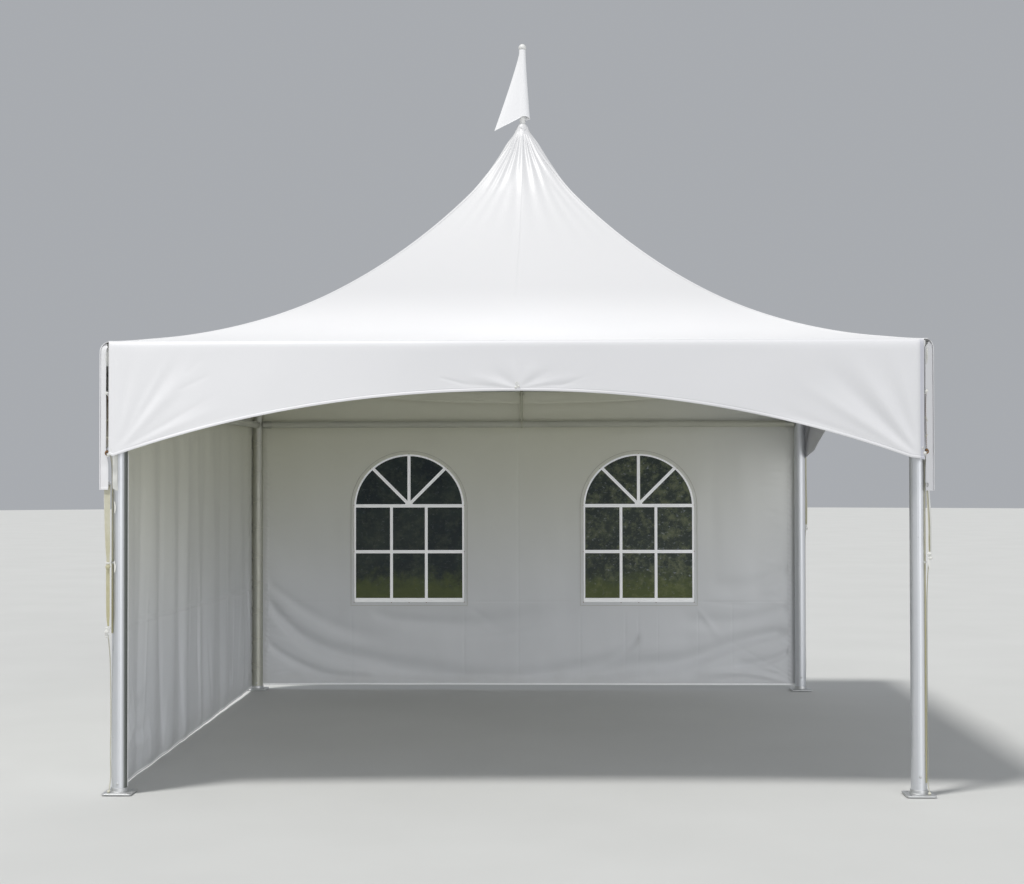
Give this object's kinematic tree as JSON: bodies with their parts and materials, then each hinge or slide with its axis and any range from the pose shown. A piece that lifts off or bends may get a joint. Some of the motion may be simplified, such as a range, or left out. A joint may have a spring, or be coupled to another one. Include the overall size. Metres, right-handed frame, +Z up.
{
  "type": "marquee tent",
  "caption": "Square frame tent with a high peaked canopy, scalloped valances, a back wall with arched windows, one plain side wall and a pennant.",
  "frame": {"origin": "on the ground at the centre of the four legs", "axes": "+X to the right seen from the open front, +Y to the back wall, +Z up"},
  "size_m": [4.794, 4.77, 4.8797],
  "materials": {
    "aluminium": "satin drawn tube",
    "steel": "galvanised, dull",
    "cast_metal": "cast, matt",
    "canopy": "coated vinyl fabric, satin",
    "valance": "coated vinyl fabric, satin",
    "wall_vinyl": "thin coated vinyl, satin",
    "clear_vinyl": "clear flexible vinyl, glossy",
    "webbing": "woven strap and rope, matt",
    "cable": "galvanised wire rope",
    "pennant": "thin woven cloth"
  },
  "bodies": {
    "root": {"leg_front_left": "aluminium", "leg_front_right": "aluminium", "leg_rear_left": "aluminium", "leg_rear_right": "aluminium", "base_plate_front_left": "steel", "base_plate_front_right": "steel", "base_plate_rear_left": "steel", "base_plate_rear_right": "steel", "corner_fitting_front_left": "cast_metal", "corner_fitting_front_right": "cast_metal", "corner_fitting_rear_left": "cast_metal", "corner_fitting_rear_right": "cast_metal", "eave_beam_front": "aluminium", "eave_beam_rear": "aluminium", "eave_beam_left": "aluminium", "eave_beam_right": "aluminium", "wall_rail_rear": "aluminium", "wall_rail_left": "aluminium", "rail_hanger": "steel", "mast": "aluminium", "mast_foot": "cast_metal", "mast_crown": "cast_metal", "stay_cable_front_left": "cable", "stay_cable_front_right": "cable", "stay_cable_rear_left": "cable", "stay_cable_rear_right": "cable", "flagpole": "aluminium", "finial_cap": "cast_metal", "peak_collar": "canopy", "pennant": "pennant", "roof_panel_front": "canopy", "roof_panel_rear": "canopy", "roof_panel_left": "canopy", "roof_panel_right": "canopy", "valance_front": "valance", "valance_rear": "valance", "valance_left": "valance", "valance_right": "valance", "inner_flap_rear": "valance", "inner_flap_left": "valance", "back_wall": "wall_vinyl", "left_wall": "wall_vinyl", "window_pane_left": "clear_vinyl", "window_pane_right": "clear_vinyl", "corner_strap_front_left": "webbing", "corner_strap_front_right": "webbing", "corner_strap_rear_left": "webbing", "corner_strap_rear_right": "webbing"}
  },
  "joints": []
}
